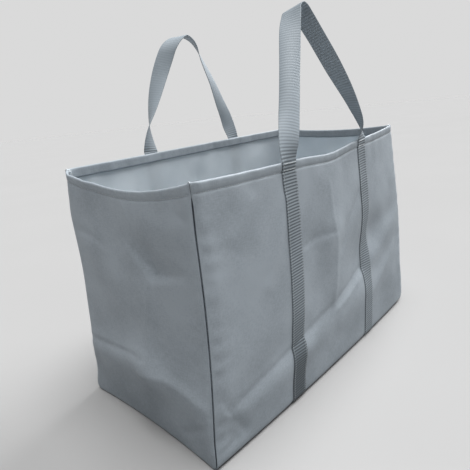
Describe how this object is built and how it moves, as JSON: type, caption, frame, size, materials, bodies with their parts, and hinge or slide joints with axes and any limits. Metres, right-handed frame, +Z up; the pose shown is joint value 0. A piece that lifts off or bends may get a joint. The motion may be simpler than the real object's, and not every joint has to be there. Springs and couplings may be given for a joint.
{
  "type": "log carrier",
  "caption": "Open-topped firewood tote of coated cloth, with a rectangular base, hemmed rim and long webbing handles sewn up the front and back.",
  "frame": {"origin": "centre of the base, on the floor", "axes": "+X along the bag to its right end, -Y out of the front wall, +Z up"},
  "size_m": [0.6216, 0.3478, 0.5897],
  "materials": {
    "coated_cloth": "satin coated woven polyester",
    "webbing": "ribbed woven polypropylene"
  },
  "bodies": {
    "root": {"main_panel": "coated_cloth", "end_panel_left": "coated_cloth", "end_panel_right": "coated_cloth", "webbing_front": "webbing", "webbing_back": "webbing"}
  },
  "joints": []
}
